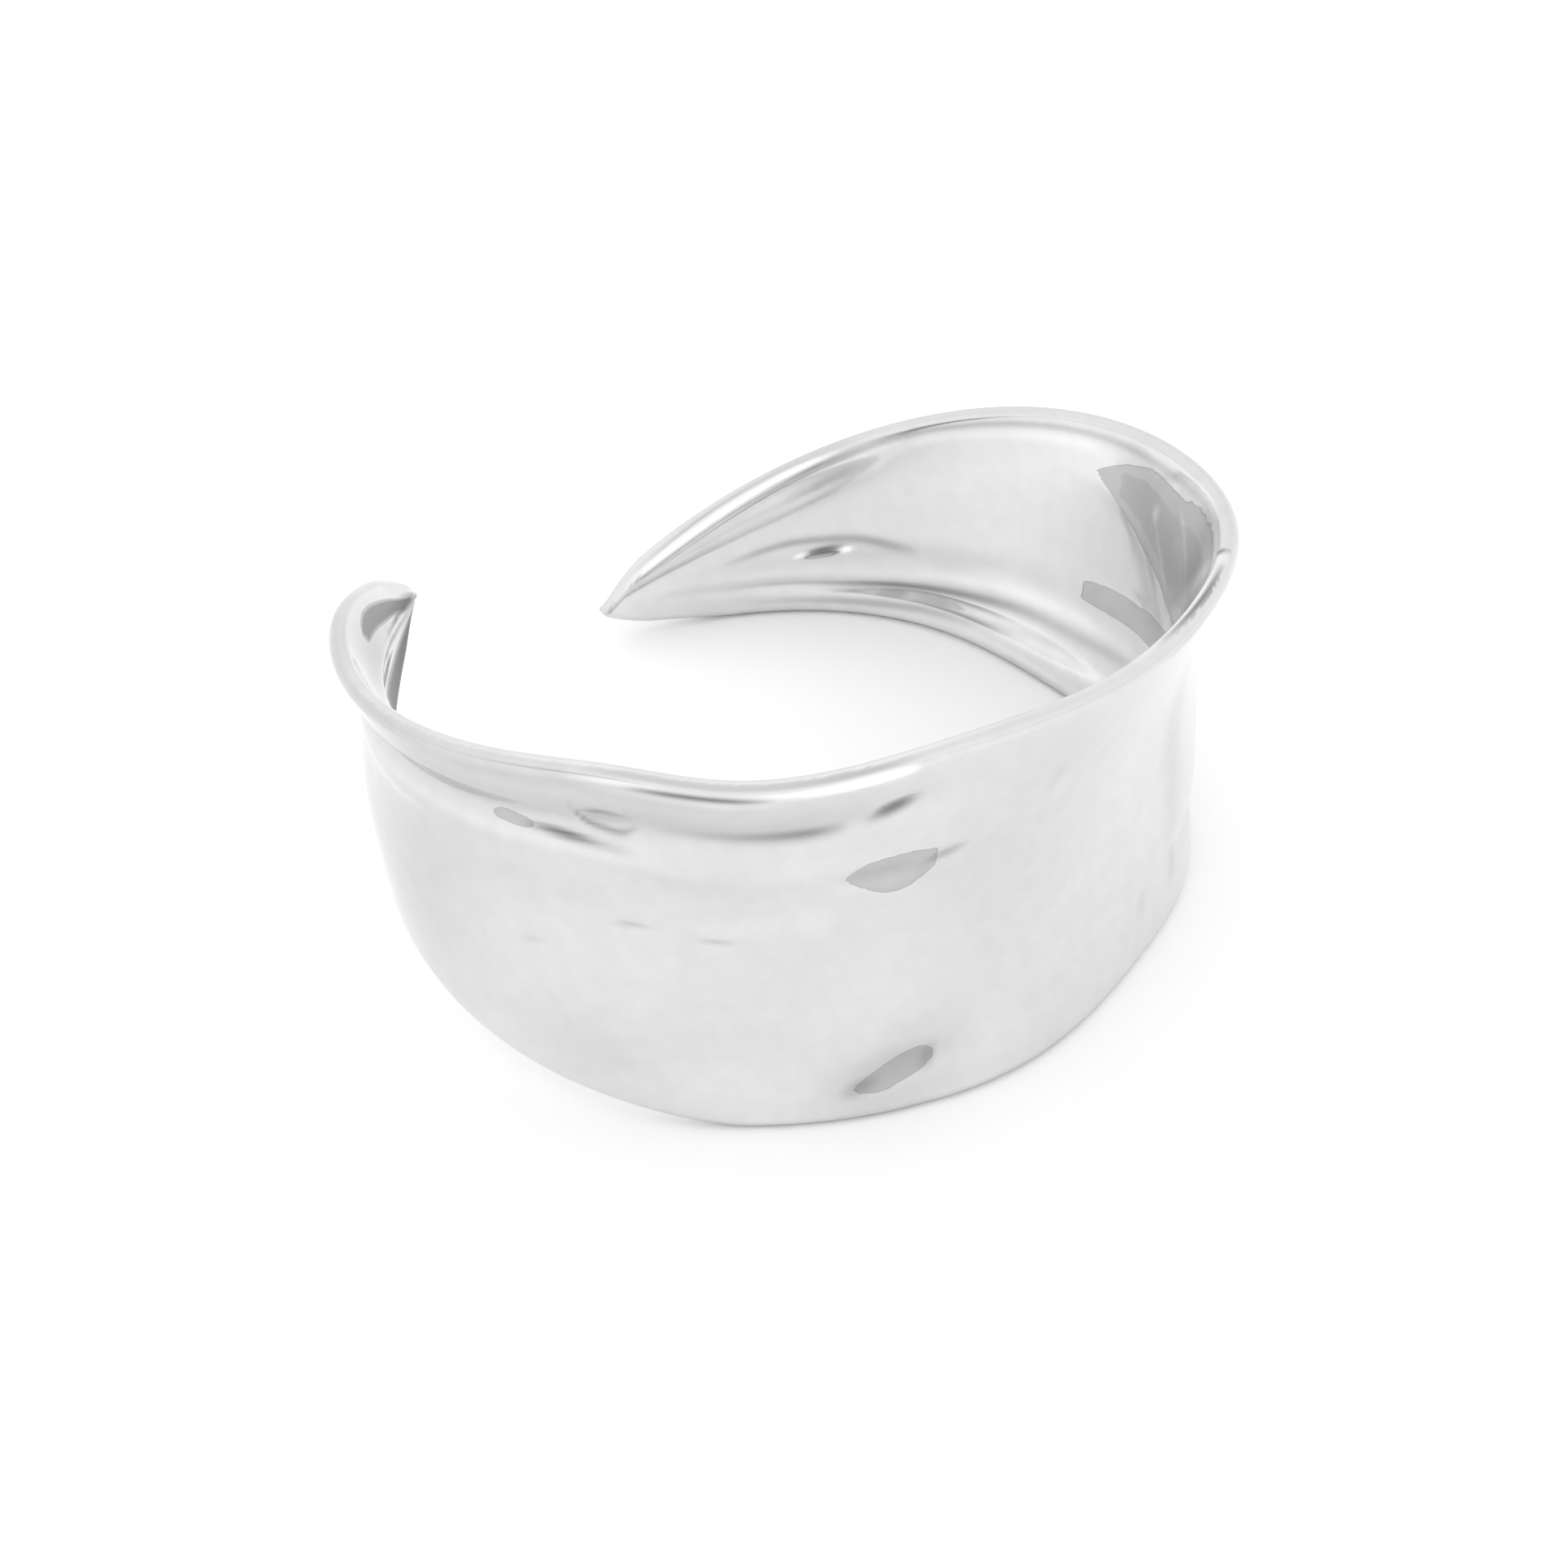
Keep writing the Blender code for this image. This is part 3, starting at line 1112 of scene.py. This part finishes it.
def area_light(name, place, aim, size, power):
    """A square soft light at place that shines towards aim."""
    light = bpy.data.lights.new(name, "AREA")
    light.shape = "SQUARE"
    light.size = size
    light.energy = power
    lamp = bpy.data.objects.new(name, light)
    lamp.location = place
    lamp.rotation_euler = (Vector(aim) - place).to_track_quat("-Z", "Y").to_euler()
    bpy.context.scene.collection.objects.link(lamp)


def white_tent(look):
    """A white tent, softer overhead, with a grey seam just over the horizon. The seam is dark
    on one side and fades round the others."""
    world = bpy.data.worlds.new("white_tent")
    world.use_nodes = True
    tree = world.node_tree
    background = tree.nodes["Background"]
    background.inputs["Strength"].default_value = look.sky
    place = add_node(tree, "ShaderNodeTexCoord").outputs["Generated"]
    parts = add_node(tree, "ShaderNodeSeparateXYZ")
    tree.links.new(place, parts.inputs["Vector"])
    height = add_math(tree, "MULTIPLY_ADD", parts.outputs["Z"], 0.5, 0.5)
    wall = add_ramp(tree, height, TENT_SHADES, "B_SPLINE")
    side = add_node(tree, "ShaderNodeVectorMath", operation="DOT_PRODUCT")
    tree.links.new(place, side.inputs[0])
    side.inputs[1].default_value = direction(look.seam, 0.0)
    seam = (SEAM_END, (SEAM_MIDDLE, look.seam_light))
    lift = add_ramp(tree, side.outputs["Value"], seam, "EASE")
    rest = add_math(tree, "SUBTRACT", 1.0, lift)
    tree.links.new(add_math(tree, "MULTIPLY_ADD", wall, rest, lift), background.inputs["Color"])
    return world


class CUFF_OT_studio(Operator):
    """Make the pale floor, the white tent, the soft lights and the camera"""

    bl_idname = "cuff.studio"
    bl_label = "Make the studio"

    def execute(self, context):
        scene = context.scene
        look = scene.cuff_studio

        mesh = bpy.data.meshes.new("studio_floor")
        turns = ((-1, -1), (1, -1), (1, 1), (-1, 1))
        corners = [(FLOOR_REACH * x, FLOOR_REACH * y, 0) for x, y in turns]
        mesh.from_pydata(corners, [], [(0, 1, 2, 3)])
        material = bpy.data.materials.new("studio_floor")
        material.use_nodes = True
        shader = material.node_tree.nodes["Principled BSDF"]
        shader.inputs["Base Color"].default_value = (*look.floor, 1)
        shader.inputs["Roughness"].default_value = FLOOR_ROUGHNESS
        shader.inputs["Specular IOR Level"].default_value = 0.0
        mesh.materials.append(material)
        floor = bpy.data.objects.new("studio_floor", mesh)
        scene.collection.objects.link(floor)

        scene.world = white_tent(look)
        place = SOFT_BOX_DISTANCE * direction(look.key_azimuth, look.key_elevation)
        area_light("soft_box", place, (0, 0, 0), SOFT_BOX_SIDE, look.key)

        back = direction(look.azimuth, look.elevation)
        camera = bpy.data.cameras.new("studio_camera")
        camera.lens = look.lens
        camera.sensor_width = SENSOR_WIDTH
        camera.clip_start = NEAREST
        camera.clip_end = FARTHEST
        holder = bpy.data.objects.new("studio_camera", camera)
        holder.rotation_mode = "QUATERNION"
        holder.location = Vector(look.aim) + back * look.distance
        holder.rotation_quaternion = (-back).to_track_quat("-Z", "Y")
        scene.collection.objects.link(holder)
        scene.camera = holder
        scene.view_settings.view_transform = "Standard"
        return {"FINISHED"}


class CUFF_PT_sidebar(Panel):
    """All sizes and looks, with a button for the band and one for the studio"""

    bl_label = "Cuff bracelet"
    bl_space_type = "VIEW_3D"
    bl_region_type = "UI"
    bl_category = "Cuff"

    def draw(self, context):
        layout = self.layout
        groups = (
            ("Band", context.scene.cuff_sizes),
            ("Silver", context.scene.cuff_silver),
            ("Studio", context.scene.cuff_studio),
        )
        for title, group in groups:
            box = layout.box()
            box.label(text=title)
            for name in group.__annotations__:
                box.prop(group, name)
        layout.operator(CUFF_OT_band.bl_idname)
        layout.operator(CUFF_OT_studio.bl_idname)


CLASSES = (
    CuffSizes,
    SilverLook,
    StudioLook,
    CUFF_OT_band,
    CUFF_OT_studio,
    CUFF_PT_sidebar,
)


def register():
    for item in CLASSES:
        bpy.utils.register_class(item)
    bpy.types.Scene.cuff_sizes = PointerProperty(type=CuffSizes)
    bpy.types.Scene.cuff_silver = PointerProperty(type=SilverLook)
    bpy.types.Scene.cuff_studio = PointerProperty(type=StudioLook)


def unregister():
    del bpy.types.Scene.cuff_sizes
    del bpy.types.Scene.cuff_silver
    del bpy.types.Scene.cuff_studio
    for item in reversed(CLASSES):
        bpy.utils.unregister_class(item)


def main():
    register()
    bpy.ops.cuff.band()
    bpy.ops.cuff.studio()


if __name__ == "__main__":
    main()
